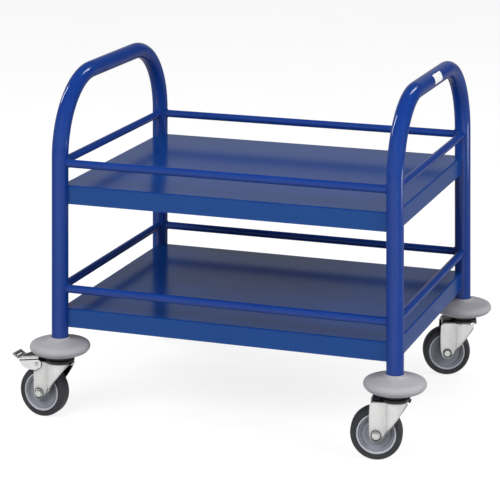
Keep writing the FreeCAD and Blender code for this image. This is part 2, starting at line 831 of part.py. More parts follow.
def make_brake_pedal(corner):
    """Pressed channel, open underneath, whose side plates straddle the fork."""
    body = corner_body("brake_pedal", corner)
    inner, outer = "-pedal_start", "-pedal_end"
    low, front = "pivot_height - pedal_skirt", "-pivot_back + pedal_front"
    outline = new_sketch(body, "outline", "XZ_Plane")
    add_outline(
        outline,
        [
            (inner, plate_top("pedal_start")),
            (outer, plate_top("pedal_end")),
            (outer, f"{plate_top('pedal_end')} - 2 * pedal_sheet"),
            ("-skirt_end", low, "skirt_round", "left"),
            ("-skirt_start", low),
            (front, "pivot_height - pedal_front / 2"),
            (front, "pivot_height + pedal_front / 2"),
        ],
    )
    pad(body, outline, "pedal_width")

    # The inside: everything under the top plate, between the side plates.
    below = "pivot_height - 2 * pedal_skirt"
    channel = new_sketch(body, "channel", "XZ_Plane")
    add_outline(
        channel,
        [
            ("0", below),
            ("0", f"{plate_top('pedal_start')} - pedal_sheet"),
            (inner, f"{plate_top('pedal_start')} - pedal_sheet"),
            ("-pedal_end - pedal_sheet", f"{plate_top('(pedal_end + pedal_sheet)')} - pedal_sheet"),
            ("-pedal_end - pedal_sheet", below),
        ],
    )
    pocket(body, channel, "pedal_width - 2 * pedal_sheet")
    bore = new_sketch(body, "bore", "XZ_Plane")
    add_circle(bore, "-pivot_back", "pivot_height", "pin_radius + running_gap")
    pocket(body, bore, "2 * pedal_width")


def make_pedal_pad(corner):
    """Black moulding on the pedal's top plate: a hump, then a foot pad sloping up."""
    body = corner_body("pedal_pad", corner)
    start, end = "-foot_pad_start", "-foot_pad_end"
    low, high = "pivot_height + foot_pad_low", "pivot_height + foot_pad_low + foot_pad_rise"
    side = new_sketch(body, "side", "XZ_Plane")
    add_outline(
        side,
        [
            ("-hump_start", plate_top("hump_start")),
            ("-hump_start", f"{plate_top('hump_start')} + hump_rise / 3"),
            ("-hump_middle", f"{plate_top('hump_middle')} + hump_rise", "hump_round", "left"),
            ("-pedal_end", f"{plate_top('pedal_end')} + pedal_sheet / 2", "hump_round", "left"),
            (start, low),
            (end, high),
            (end, f"{high} - foot_pad_depth"),
            (start, f"{low} - foot_pad_depth"),
            ("-pedal_end", f"{plate_top('pedal_end')} - 2 * pedal_sheet"),
            ("-pedal_end", plate_top("pedal_end")),
        ],
    )
    pad(body, side, "foot_pad_width")


def make_brake_shoe(corner):
    """Block under the pedal, curved underneath to the tyre that it presses on."""
    body = corner_body("brake_shoe", corner)
    inner, outer = "-shoe_start", "-shoe_end"
    side = new_sketch(body, "side", "XZ_Plane")
    add_outline(
        side,
        [
            (inner, f"{plate_top('shoe_start')} - pedal_sheet"),
            (outer, f"{plate_top('shoe_end')} - pedal_sheet"),
            (outer, "pivot_height - shoe_outer_drop"),
            (
                inner,
                "pivot_height - shoe_inner_drop",
                "wheel_diameter / 2 + shoe_gap",
                "right",
            ),
        ],
    )
    pad(body, side, "tread_width - 4 * pedal_sheet")


# ---------------------------------------------------------------- assembly and files


def build():
    make_end_frame("left_end_frame", -1)
    make_end_frame("right_end_frame", 1)
    decks = {"upper": "deck_height", "lower": "deck_height - shelf_drop"}
    for level, top in decks.items():
        make_shelf(f"{level}_shelf", top)
        height = f"{top} + {level}_rail_rise"
        make_rail(f"{level}_front_rail", height, -1, lengthways=True)
        make_rail(f"{level}_rear_rail", height, 1, lengthways=True)
        make_rail(f"{level}_left_rail", height, -1, lengthways=False)
        make_rail(f"{level}_right_rail", height, 1, lengthways=False)
    make_handle_label()
    group_at_corners("leg_inserts", leg_insert)
    group_at_corners("bumper_bushes", bumper_bush)
    group_at_corners("bearing_plates", bearing_plate)
    group_at_corners("kingpins", kingpin)
    make_swivel_balls()
    for corner in CORNERS:
        make_bumper(corner)
        make_fork(corner)
        make_dust_cover(corner)
        make_axle_sleeve(corner)
        make_axle_bolt(corner)
        make_axle_nut(corner)
        make_wheel_centre(corner)
        make_tyre(corner)
    for corner in BRAKED:
        make_brake_pin(corner)
        make_brake_spring(corner)
        make_brake_pedal(corner)
        make_pedal_pad(corner)
        make_brake_shoe(corner)
    doc.recompute()


def check():
    """Stops if any object failed to recompute or a sub-part has no valid shape."""
    failed = [
        item.Name for item in doc.Objects if {"Invalid", "Error"} & set(item.State)
    ]
    for item in sub_parts:
        if item.Shape.isNull() or not item.Shape.isValid() or not item.Shape.Solids:
            failed.append(item.Label)
    if failed:
        raise RuntimeError(f"these failed: {failed}")


def write():
    os.makedirs("parts", exist_ok=True)
    for item in sub_parts:
        item.Shape.exportStep(f"parts/{item.Label}.step")


build()
check()
write()
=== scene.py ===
import json
import math
import random

import bmesh
import bpy
from mathutils import Matrix, Vector


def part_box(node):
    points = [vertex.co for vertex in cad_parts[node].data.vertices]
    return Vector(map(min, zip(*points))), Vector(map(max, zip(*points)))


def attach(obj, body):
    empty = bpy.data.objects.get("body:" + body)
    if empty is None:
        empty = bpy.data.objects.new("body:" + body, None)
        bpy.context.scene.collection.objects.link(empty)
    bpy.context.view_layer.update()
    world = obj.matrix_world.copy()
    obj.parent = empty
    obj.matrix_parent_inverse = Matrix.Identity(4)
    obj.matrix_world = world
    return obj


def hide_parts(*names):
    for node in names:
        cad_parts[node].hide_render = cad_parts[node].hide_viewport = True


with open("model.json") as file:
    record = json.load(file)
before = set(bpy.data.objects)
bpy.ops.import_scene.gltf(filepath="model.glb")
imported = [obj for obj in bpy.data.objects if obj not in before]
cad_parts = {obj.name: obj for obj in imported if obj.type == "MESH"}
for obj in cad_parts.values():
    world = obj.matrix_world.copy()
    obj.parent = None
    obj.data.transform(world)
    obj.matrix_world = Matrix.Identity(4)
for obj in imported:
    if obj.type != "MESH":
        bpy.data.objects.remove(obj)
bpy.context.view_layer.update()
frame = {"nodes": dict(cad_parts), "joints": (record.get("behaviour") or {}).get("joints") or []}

# A two-shelf trolley. Metres outside the makers, millimetres inside them. Caster pieces are
# drawn round their kingpin, with z above the floor and the wheel trailing towards -X.

MM = 0.001
CORNERS = ("front_left", "front_right", "rear_left", "rear_right")
BRAKED = ("front_left", "rear_left")
rng = random.Random(4)
joints = {joint["name"]: joint for joint in frame["joints"]}
nodes = frame["nodes"]
floor_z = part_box("tyre_front_right")[0].z

# ---------------------------------------------------------------- materials


def new_material(name):
    made = bpy.data.materials.new(name)
    made.use_nodes = True
    tree = made.node_tree
    shader = tree.nodes["Principled BSDF"]
    place = tree.nodes.new("ShaderNodeTexCoord").outputs["Object"]
    return made, tree, shader, place


def link(tree, output, target):
    tree.links.new(output, target)


def noise(tree, place, scale, detail=3.0, stretch=(1, 1, 1), distortion=0.0):
    """Noise of so many waves per metre, stretched along the axes."""
    mapping = tree.nodes.new("ShaderNodeMapping")
    mapping.inputs["Scale"].default_value = stretch
    link(tree, place, mapping.inputs["Vector"])
    texture = tree.nodes.new("ShaderNodeTexNoise")
    texture.inputs["Scale"].default_value = scale
    texture.inputs["Detail"].default_value = detail
    texture.inputs["Distortion"].default_value = distortion
    link(tree, mapping.outputs["Vector"], texture.inputs["Vector"])
    return texture.outputs["Fac"]


def spread(tree, value, low, high, start=0.3, end=0.7):
    """The value, running from low at start to high at end."""
    node = tree.nodes.new("ShaderNodeMapRange")
    node.inputs["From Min"].default_value = start
    node.inputs["From Max"].default_value = end
    node.inputs["To Min"].default_value = low
    node.inputs["To Max"].default_value = high
    link(tree, value, node.inputs["Value"])
    return node.outputs["Result"]


def calculate(tree, operation, first, second):
    node = tree.nodes.new("ShaderNodeMath")
    node.operation = operation
    link(tree, first, node.inputs[0])
    link(tree, second, node.inputs[1])
    return node.outputs["Value"]


def mix_values(tree, amount, first, second):
    node = tree.nodes.new("ShaderNodeMix")
    link(tree, amount, node.inputs[0])
    for socket, number in ((node.inputs[2], first), (node.inputs[3], second)):
        if isinstance(number, float):
            socket.default_value = number
        else:
            link(tree, number, socket)
    return node.outputs[0]


def mix_colours(tree, amount, first, second):
    node = tree.nodes.new("ShaderNodeMix")
    node.data_type = "RGBA"
    link(tree, amount, node.inputs["Factor"])
    for socket, colour in ((node.inputs[6], first), (node.inputs[7], second)):
        if isinstance(colour, tuple):
            socket.default_value = (*colour, 1)
        else:
            link(tree, colour, socket)
    return node.outputs[2]


def bump(tree, shader, height, distance, strength=1.0, under=None):
    node = tree.nodes.new("ShaderNodeBump")
    node.inputs["Distance"].default_value = distance
    node.inputs["Strength"].default_value = strength
    link(tree, height, node.inputs["Height"])
    if under is not None:
        link(tree, under, node.inputs["Normal"])
    link(tree, node.outputs["Normal"], shader.inputs["Normal"])
    return node.outputs["Normal"]


def powder_coat(name, colour, deep, roughness, shine, glint=(1, 1, 1)):
    """Glossy powder coat: orange peel, faint cloudiness, darker where the film is thin."""
    made, tree, shader, place = new_material(name)
    cloud = spread(tree, noise(tree, place, scale=14, detail=4), 0, 1)
    link(tree, mix_colours(tree, cloud, deep, colour), shader.inputs["Base Color"])
    peel = noise(tree, place, scale=420, detail=2)
    link(tree, spread(tree, peel, roughness * 0.85, roughness * 1.2), shader.inputs["Roughness"])
    peeled = bump(tree, shader, peel, distance=0.12 * MM, strength=0.15)
    grain = noise(tree, place, scale=1800, detail=1)
    bump(tree, shader, grain, distance=0.03 * MM, strength=0.2, under=peeled)
    shader.inputs["Specular IOR Level"].default_value = shine
    # glint tints the reflections: where it is not white, it is a painted reflection colour.
    shader.inputs["Specular Tint"].default_value = (*glint, 1)
    return made


def opening(tree, distance):
    """How much of the sky a point sees past whatever is nearer than the distance."""
    node = tree.nodes.new("ShaderNodeAmbientOcclusion")
    node.samples = 8
    node.inputs["Distance"].default_value = distance
    return node.outputs["AO"]


def zinc(name, colour, dark, roughness, metallic=1.0, shade_reach=0.0):
    """Bright zinc plate: drawn lines down the sheet, cloudy passivation, small pits. Its colour
    has painted shade in corners narrower than the given distance, where little light gets in."""
    made, tree, shader, place = new_material(name)
    drawn = noise(tree, place, scale=260, detail=3, stretch=(1, 1, 0.12))
    cloud = noise(tree, place, scale=55, detail=4, distortion=0.6)
    tone = mix_colours(tree, spread(tree, cloud, 0, 1), dark, colour)
    tone = mix_colours(tree, spread(tree, drawn, 0, 0.35), tone, dark)
    if shade_reach:
        # Painted shade: two ambient occlusion masks darken the colour where parts are close by, in
        # corners, creases and under the bumper.
        gap = spread(tree, opening(tree, shade_reach), 0, 1, start=0.45, end=0.82)
        tone = mix_colours(tree, gap, (0.02, 0.02, 0.02), tone)
        crease = spread(tree, opening(tree, shade_reach / 2), 0, 1, start=0.78, end=0.98)
        tone = mix_colours(tree, crease, (0.06, 0.06, 0.06), tone)
    link(tree, tone, shader.inputs["Base Color"])
    link(tree, spread(tree, cloud, roughness * 0.8, roughness * 1.25), shader.inputs["Roughness"])
    shader.inputs["Metallic"].default_value = metallic
    lines = bump(tree, shader, drawn, distance=0.05 * MM, strength=0.2)
    pits = noise(tree, place, scale=1400, detail=2)
    bump(tree, shader, pits, distance=0.02 * MM, strength=0.15, under=lines)
    return made


def moulded(name, colour, second, roughness, grain):
    """Moulded plastic: slight flow marks and a fine eroded grain, so many metres deep."""
    made, tree, shader, place = new_material(name)
    flow = spread(tree, noise(tree, place, scale=24, detail=5, distortion=1.2), 0, 1)
    link(tree, mix_colours(tree, flow, second, colour), shader.inputs["Base Color"])
    fine = noise(tree, place, scale=1500, detail=3)
    rough = spread(tree, fine, roughness * 0.85, roughness * 1.15)
    link(tree, rough, shader.inputs["Roughness"])
    bump(tree, shader, fine, distance=grain, strength=0.5)
    return made


def tyre_rubber(name, clean, dusty):
    """Dark rubber: fine grain and dusty patches."""
    made, tree, shader, place = new_material(name)
    dust = noise(tree, place, scale=70, detail=5, distortion=0.8)
    patches = spread(tree, dust, 0, 1, start=0.35, end=0.75)
    link(tree, mix_colours(tree, patches, clean, dusty), shader.inputs["Base Color"])
    link(tree, spread(tree, dust, 0.48, 0.68), shader.inputs["Roughness"])
    grain = noise(tree, place, scale=1600, detail=3)
    bump(tree, shader, grain, distance=0.18 * MM, strength=0.6)
    return made


BLUE = powder_coat(
    "blue_paint", (0.0065, 0.037, 0.210), (0.0055, 0.032, 0.195), roughness=0.13, shine=0.38
)
# The decks' copy of the frame's blue paint, with its colour and its reflection tint set to how light
# falls on the decks: the green tint on its reflections is a painted reflection colour.
DECK = powder_coat(
    "deck_paint_tinted_reflection", (0.0020, 0.038, 0.200), (0.0016, 0.034, 0.186), roughness=0.17, shine=0.44,
    glint=(0.68, 1, 0.92),
)
GREY = moulded(
    "bumper_plastic", (0.345, 0.337, 0.362), (0.318, 0.310, 0.333), roughness=0.62, grain=0.16 * MM
)
# The fork's zinc has painted shade where other parts are within 45 mm.
ZINC = zinc(
    "zinc_sheet", (0.93, 0.93, 0.92), (0.84, 0.84, 0.83), roughness=0.17, metallic=0.97,
    shade_reach=45 * MM,
)
LEVER = zinc("zinc_lever", (0.86, 0.86, 0.86), (0.79, 0.79, 0.79), roughness=0.25, metallic=0.5)
BOLT = zinc("zinc_bolt", (0.90, 0.90, 0.89), (0.76, 0.76, 0.75), roughness=0.14)
SPRING = zinc("spring_wire", (0.42, 0.42, 0.42), (0.30, 0.30, 0.30), roughness=0.30)
BALL = zinc("bearing_ball", (0.62, 0.62, 0.63), (0.50, 0.50, 0.52), roughness=0.10)
BLACK = moulded(
    "black_plastic", (0.010, 0.010, 0.011), (0.007, 0.007, 0.008), roughness=0.10, grain=0.02 * MM
)
PAD = moulded("pad_plastic", (0.36, 0.36, 0.365), (0.30, 0.30, 0.305), roughness=0.35, grain=0.04 * MM)
WEB = moulded(
    "wheel_plastic", (0.215, 0.228, 0.262), (0.180, 0.190, 0.220), roughness=0.42, grain=0.08 * MM
)
# A lighter copy of the wheel plastic, for the wheel's outer ring.
LIGHTER_RING = moulded(
    "wheel_ring_lighter_plastic", (0.41, 0.41, 0.46), (0.36, 0.36, 0.40), roughness=0.38, grain=0.08 * MM
)
TYRE = tyre_rubber("tyre_rubber", clean=(0.017, 0.018, 0.021), dusty=(0.036, 0.037, 0.044))
PAPER = moulded("label_film", (0.83, 0.84, 0.84), (0.76, 0.77, 0.77), roughness=0.45, grain=0.05 * MM)

NODE_MATERIALS = (
    ("handle_label", PAPER),
    ("leg_inserts", ZINC),
    ("bumper_bushes", ZINC),
    ("bearing_plates", ZINC),
    ("kingpins", BOLT),
    ("swivel_balls", BALL),
    ("bumper_", GREY),
    ("fork_", ZINC),
    ("dust_cover", BLACK),
    ("axle_", BOLT),
    ("brake_pin", BOLT),
    ("brake_spring", SPRING),
    ("brake_pedal", ZINC),
    ("pedal_pad", BLACK),
    ("brake_shoe", BLACK),
    ("wheel_centre", WEB),
    ("tyre", TYRE),
    ("upper_shelf", DECK),
    ("lower_shelf", DECK),
    ("", BLUE),
)

for node_name, node in nodes.items():
    finish = next(made for start, made in NODE_MATERIALS if node_name.startswith(start))
    node.data.materials.clear()
    node.data.materials.append(finish)

# ---------------------------------------------------------------- mesh makers


def new_piece(name, verts, faces, body, finish, matrix=None, sharp=40, stands_for=()):
    """A mesh with its edges sharp where faces meet at more than so many degrees."""
    shape = bmesh.new()
    made = [shape.verts.new(matrix @ Vector(v) if matrix else v) for v in verts]
    for face in faces:
        corners = [made[index] for index in face]
        if len(set(corners)) > 2:
            shape.faces.new(corners)
    bmesh.ops.remove_doubles(shape, verts=shape.verts, dist=1e-6)
    bmesh.ops.dissolve_degenerate(shape, dist=1e-6, edges=shape.edges)
    loose = [vert for vert in shape.verts if not vert.link_faces]
    bmesh.ops.delete(shape, geom=loose, context="VERTS")
    bmesh.ops.recalc_face_normals(shape, faces=shape.faces)
    limit = math.radians(sharp)
    for edge in shape.edges:
        edge.smooth = len(edge.link_faces) == 2 and edge.calc_face_angle(0) < limit
    for face in shape.faces:
        face.smooth = True
    mesh = bpy.data.meshes.new(name)
    shape.to_mesh(mesh)
    shape.free()
    mesh.materials.append(finish)
    obj = bpy.data.objects.new(name, mesh)
    bpy.context.scene.collection.objects.link(obj)
    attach(obj, body)
    if stands_for:
        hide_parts(*stands_for)
    return obj


def soften(obj, width, segments=2, angle=30):
    """Rounds the edges with a bevel."""
    bevel = obj.modifiers.new("bevel", "BEVEL")
    bevel.width = width * MM
    bevel.segments = segments
    bevel.limit_method = "ANGLE"
    bevel.angle_limit = math.radians(angle)
    bevel.harden_normals = True
    return obj


def rounded(points, radius, steps=5, closed=True):
    """A 2D outline with its corners rounded. A corner's own radius is its third number."""
    result = []
    count = len(points)
    for index, point in enumerate(points):
        here = Vector(point[:2])
        size = point[2] if len(point) > 2 else radius
        ends = not closed and index in (0, count - 1)
        if size <= 0 or ends:
            result.append(tuple(here))
            continue
        before = Vector(points[index - 1][:2]) - here
        after = Vector(points[(index + 1) % count][:2]) - here
        turn = before.angle(after)
        reach = min(size / math.tan(turn / 2), before.length / 2.05, after.length / 2.05)
        size = reach * math.tan(turn / 2)
        start, end = here + before.normalized() * reach, here + after.normalized() * reach
        centre = here + (before.normalized() + after.normalized()).normalized() * (
            size / math.sin(turn / 2)
        )
        first, last = start - centre, end - centre
        sweep = math.atan2(first.x * last.y - first.y * last.x, first.dot(last))
        for step in range(steps + 1):
            result.append(tuple(centre + Matrix.Rotation(sweep * step / steps, 2) @ first))
    return result


def lathe(profile, segments=96):
    """A closed outline of (radius, height) turned about Z."""
    verts, faces = [], []
    count = len(profile)
    for turn in range(segments):
        angle = math.tau * turn / segments
        verts += [(r * math.cos(angle), r * math.sin(angle), z) for r, z in profile]
    for turn in range(segments):
        here, there = turn * count, (turn + 1) % segments * count
        for step in range(count):
            follow = (step + 1) % count
            faces.append((here + step, here + follow, there + follow, there + step))
    return verts, faces


def sweep(path, radius, sides=40, closed=False):
    """A round section carried along a path. radius can be a list, one for each point."""
    points = [Vector(point) for point in path]
    count = len(points)
    radii = radius if isinstance(radius, list) else [radius] * count
    verts, faces = [], []
    side = None
    for index, point in enumerate(points):
        before = points[index - 1] if index or closed else point
        after = points[(index + 1) % count] if index < count - 1 or closed else point
        along = (after - before).normalized()
        if side is None:
            side = along.orthogonal().normalized()
        side = (side - along * side.dot(along)).normalized()
        across = along.cross(side)
        for turn in range(sides):
            angle = math.tau * turn / sides
            offset = side * math.cos(angle) + across * math.sin(angle)
            verts.append(point + offset * radii[index])
    for index in range(count if closed else count - 1):
        here, there = index * sides, (index + 1) % count * sides
        for turn in range(sides):
            follow = (turn + 1) % sides
            faces.append((here + turn, here + follow, there + follow, there + turn))
    if not closed:
        faces.append(tuple(range(sides)))
        faces.append(tuple((count - 1) * sides + turn for turn in range(sides)))
    return verts, faces


def block(outline, low, high):
    """An (x, z) outline drawn out from y low to y high."""
    count = len(outline)
    verts = [(x, y, z) for y in (low, high) for x, z in outline]
    faces = [tuple(range(count)), tuple(range(count, 2 * count))]
    for step in range(count):
        follow = (step + 1) % count
        faces.append((step, follow, count + follow, count + step))
    return verts, faces


def joined(*shapes):
    """Several (verts, faces) as one."""
    verts, faces = [], []
    for more_verts, more_faces in shapes:
        start = len(verts)
        verts += list(more_verts)
        faces += [tuple(start + index for index in face) for face in more_faces]
    return verts, faces


def moved(shape, matrix):
    verts, faces = shape
    return [tuple(matrix @ Vector(v)) for v in verts], faces


def caster_matrix(corner, turned=True):
    """Millimetres round a kingpin to metres in the row frame."""
    pin = joints[f"swivel_{corner}"]["pos_m"]
    axle = joints[f"wheel_spin_{corner}"]["axis"]
    angle = math.atan2(-axle[0], axle[1]) if turned else 0
    place = Matrix.Translation((pin[0], pin[1], floor_z))
    return place @ Matrix.Rotation(angle, 4, "Z") @ Matrix.Scale(MM, 4)


# ---------------------------------------------------------------- welded frame

TUBE = 33.7 / 2
BEND = 153
RAIL = 8


def make_end_frame(node):
    """The bent tube: leg, bend, handle, bend and leg."""
    low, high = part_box(node)
    x = (low.x + high.x) / 2 / MM
    y = (high.y - low.y) / 2 / MM - TUBE
    foot, top = low.z / MM, high.z / MM - TUBE
    path = [(x, -y, z) for z in (foot, foot + 2, foot + 60, (foot + top - BEND) / 2)]
    steps = 36
    for step in range(steps + 1):
        angle = math.pi / 2 * step / steps
        path.append((x, -y + BEND - BEND * math.cos(angle), top - BEND + BEND * math.sin(angle)))
    other_half = [(x, -y_at, z) for _, y_at, z in reversed(path)]
    verts, faces = sweep(path + [(x, 0, top)] + other_half, TUBE, 64)
    return new_piece(node + "_tube", verts, faces, "frame", BLUE, Matrix.Scale(MM, 4), 50, (node,))


def bead(path, size, sides=8, closed=False):
    """A weld bead: a row of overlapping ripples, each four points of the path long."""
    radii = []
    for index in range(len(path)):
        ripple = 0.10 * math.cos(math.tau * index / 4)
        radii.append(size * (1 + ripple + rng.uniform(-0.06, 0.06)))
    return sweep(path, radii, sides, closed)


def rail_bead(leg, direction, height):
    """The bead round a rail's end, where the bar meets the leg's curved side."""
    along = Vector(direction)
    side = along.cross(Vector((0, 0, 1)))
    path = []
    steps = 96
    radius = RAIL + 0.5
    proud = 0.4
    for step in range(steps):
        angle = math.tau * step / steps
        across = radius * math.cos(angle)
        reach = math.sqrt((TUBE + proud) ** 2 - across**2)
        path.append(
            Vector((leg[0], leg[1], height)) + along * reach + side * across
            + Vector((0, 0, radius * math.sin(angle)))
        )
    return bead(path, 1.5, closed=True)


def shelf_beads(leg, signs, heights, rims):
    """The two upright beads where a shelf's front or rear rim and its side rim meet a leg."""
    beads = []
    steps = 56
    proud = 0.4
    low, high = heights
    for normal, along in ((1, 0), (0, 1)):
        offset = abs(rims[normal] - abs(leg[normal]))
        reach = math.sqrt(TUBE**2 - offset**2) + proud
        path = []
        for step in range(steps + 1):
            point = [0, 0, low + (high - low) * step / steps]
            point[along] = leg[along] - signs[along] * reach
            point[normal] = signs[normal] * rims[normal]
            path.append(point)
        beads.append(bead(path, 1.2))
    return beads


def make_welds(level):
    """Every weld bead of one deck, as one piece."""
    shelf_low, shelf_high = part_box(f"{level}_shelf")
    rail_low, rail_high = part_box(f"{level}_front_rail")
    height = (rail_low.z + rail_high.z) / 2 / MM
    shapes = []
    for corner in CORNERS:
        pin = joints[f"swivel_{corner}"]["pos_m"]
        leg = (pin[0] / MM, pin[1] / MM)
        sign_x, sign_y = math.copysign(1, leg[0]), math.copysign(1, leg[1])
        shapes.append(rail_bead(leg, (-sign_x, 0, 0), height))
        shapes.append(rail_bead(leg, (0, -sign_y, 0), height))
        shapes += shelf_beads(
            leg, (sign_x, sign_y), (shelf_low.z / MM + 1.5, shelf_high.z / MM - 3),
            (shelf_high.x / MM, shelf_high.y / MM),
        )
    verts, faces = joined(*shapes)
    new_piece(f"weld_beads_{level}", verts, faces, "frame", BLUE, Matrix.Scale(MM, 4), 60)


for name in ("left_end_frame", "right_end_frame"):
    make_end_frame(name)
for name in ("upper", "lower"):
    make_welds(name)

# ---------------------------------------------------------------- bumpers and dust covers


def make_bumper(corner):
    """Moulded disc: a collar with a rolled lip, a shallow cone, a full rounded edge."""
    bore, socket, edge = 12.1, 17.1, 60.5
    hub, hub_base, seat = 21.5, 130.3, 151.4
    skirt, skirt_base = 46, 131.0
    under = [(bore, hub_base), (hub, hub_base, 0.6), (hub, 154.5, 2), (skirt, 147.0, 3)]
    rim = [(skirt, skirt_base, 0.4), (49.6, skirt_base, 1.5), (55.4, 133.2, 6), (edge, 139.6, 8)]
    cone = [(edge, 143.4, 5), (58.6, 148.6, 7), (52.0, 151.2, 10), (36, 154.2, 20), (24, 156.9, 5)]
    collar = [(20.6, 158.6, 1.6), (20.2, 161.5, 0.8), (18.3, 162.0, 0.9), (socket, 161.2, 0.5)]
    inside = [(socket, seat), (bore, seat)]
    profile = rounded(under + rim + cone + collar + inside, 0.2, 4)
    verts, faces = lathe(profile, 144)
    new_piece(
        f"bumper_disc_{corner}", verts, faces, f"bumper_{corner}", GREY,
        caster_matrix(corner, False), 45, (f"bumper_{corner}",),
    )


def make_dust_cover(corner):
    """Two-step glossy ring with a groove between the steps."""
    bore, lower, groove, upper = 24.1, 29.2, 27.0, 28.6
    outline = [
        (bore, 115.6), (28.0, 112.0, 0.5), (lower, 113.6, 1.2), (lower, 117.6, 2.4),
        (groove, 120.6, 0.5), (groove, 121.6, 0.5), (upper, 122.6, 1.2), (upper, 126.4, 2.4),
        (25.6, 129.5, 0.8), (24.6, 129.5, 0.4), (24.6, 120.0, 0.3), (bore, 119.5),
    ]
    verts, faces = lathe(rounded(outline, 0.2, 4), 96)
    new_piece(
        f"dust_ring_{corner}", verts, faces, f"fork_{corner}", BLACK,
        caster_matrix(corner), 45, (f"dust_cover_{corner}",),
    )


# ---------------------------------------------------------------- forks

HEAD = 28
HALF_WIDTH = 22.5
SHEET = 2.5
TRAIL = 35
AXLE = 50
TOE = 12
TAIL = TRAIL + TOE
HEAD_FROM = -10
CREASE = 2.4
DECK_TOP = 115.5
SHOULDER = 4.5
LIP = 0.9
PIN_HOLE = 6.3


def fork_path():
    """Outer outline of the fork seen from above, from its rear edge round to the front:
    slightly bowed side plate, a soft crease, and the round head."""
    points = [(-TAIL, HALF_WIDTH - 0.6)]
    bow, middle, half_length = 0.9, -34, 13
    steps = 26
    for step in range(1, steps + 1):
        x = -TAIL + (TAIL + HEAD_FROM) * step / steps
        plate = HALF_WIDTH + bow * math.cos(math.pi / 2 * (x - middle) / half_length)
        head = math.sqrt(max(HEAD**2 - x**2, 0))
        points.append((x, (plate + head + math.hypot(plate - head, CREASE)) / 2))
    first = math.acos((HEAD_FROM + 0.8) / HEAD)
    steps = 40
    for step in range(steps + 1):
        angle = first * (1 - step / steps)
        points.append((HEAD * math.cos(angle), HEAD * math.sin(angle)))
    return points


def lower_edge(x):
    """The fork's lower edge: the toe round the axle, then the leading edge."""
    lean = math.radians(40)
    toe_x, toe_z = -TRAIL + TOE * math.cos(lean), AXLE - TOE * math.sin(lean)
    if x <= toe_x:
        return AXLE - math.sqrt(max(TOE**2 - (x + TRAIL) ** 2, 0))
    share = (x - toe_x) / (HEAD - toe_x)
    bow = 1.3 * math.sin(math.pi * share)
    return toe_z + (DECK_TOP - SHEET - toe_z) * share - bow


def upper_edge(x):
    """The fork's upper edge: level, cut down at a slope at the rear."""
    cut, slope = 9, 2
    return min(DECK_TOP, DECK_TOP - cut + (x + TAIL) * slope)


def side_point(x, y, out, z, low):
    """A point of a side wall, after the lip, the bowed rear edge and the axle's dimple."""
    rear, lip_reach = -40, 2.2
    lip = (LIP if x > rear else LIP * 0.6) * math.exp(-(((z - low) / lip_reach) ** 2))
    bow, middle, half_height = 1.2, 78, 28
    height = (z - middle) / half_height
    back = bow * max(0.0, (rear - x) / (TAIL + rear)) * (1 - min(1, height * height))
    depth, radius, steepness = 1.1, 8.8, 2.2
    gap = math.hypot(x + TRAIL, z - AXLE)
    dimple = depth / (1 + math.exp((gap - radius) * steepness)) if abs(y) < 24 else 0
    shift = lip - dimple
    return x - back + out.x * shift, y + out.y * shift, z


def fork_column(x, y, out):
    """The sheet's outer face above one point of the outline: wall, shoulder, top plate."""
    rows, bends, decks = 30, 6, 5
    low, high = lower_edge(x), upper_edge(x)
    radius = SHOULDER * max(0.0, min(1.0, (high - (DECK_TOP - 5)) / 5))
    column = []
    for row in range(rows + 1):
        z = low + (high - radius - low) * (row / rows)
        column.append(side_point(x, y, out, z, low))
    for bend in range(1, bends + 1):
        angle = math.pi / 2 * bend / bends
        inward = radius * (1 - math.cos(angle))
        column.append((x - out.x * inward, y - out.y * inward, high - radius + radius * math.sin(angle)))
    edge_x, edge_y = x - out.x * radius, y - out.y * radius
    goal = (x, 0)
    if x > -PIN_HOLE:
        angle = math.atan2(y, x)
        goal = (PIN_HOLE * math.cos(angle), PIN_HOLE * math.sin(angle))
    for deck in range(1, decks + 1):
        share = deck / decks
        spot = (edge_x + (goal[0] - edge_x) * share, edge_y + (goal[1] - edge_y) * share, high)
        column.append(spot if radius > 0 else column[-1])
    return column


def make_fork(corner):
    """Pressed sheet: side plates creased where they meet the round head, a rounded
    shoulder up to the top plate, and a turned-out lip round every free edge."""
    half = fork_path()
    path = half + [(x, -y) for x, y in reversed(half[:-1])]
    columns = []
    for index, (x, y) in enumerate(path):
        before, after = Vector(path[max(index - 1, 0)]), Vector(path[min(index + 1, len(path) - 1)])
        along = (after - before).normalized()
        out = Vector((along.y, -along.x))
        if out.dot(Vector((x + 20, y))) < 0:
            out = -out
        columns.append(fork_column(x, y, out))
    verts = [point for column in columns for point in column]
    length = len(columns[0])
    faces = []
    for index in range(len(columns) - 1):
        for row in range(length - 1):
            here, there = index * length + row, (index + 1) * length + row
            faces.append((here, there, there + 1, here + 1))
    obj = new_piece(
        f"fork_pressing_{corner}", verts, faces, f"fork_{corner}", ZINC,
        caster_matrix(corner), 50, (f"fork_{corner}",),
    )
    solid = obj.modifiers.new("sheet", "SOLIDIFY")
    solid.thickness = SHEET * MM * 0.92
    solid.offset = -1
    solid.use_even_offset = False
    soften(obj, 0.35, 2, 50)
    return obj


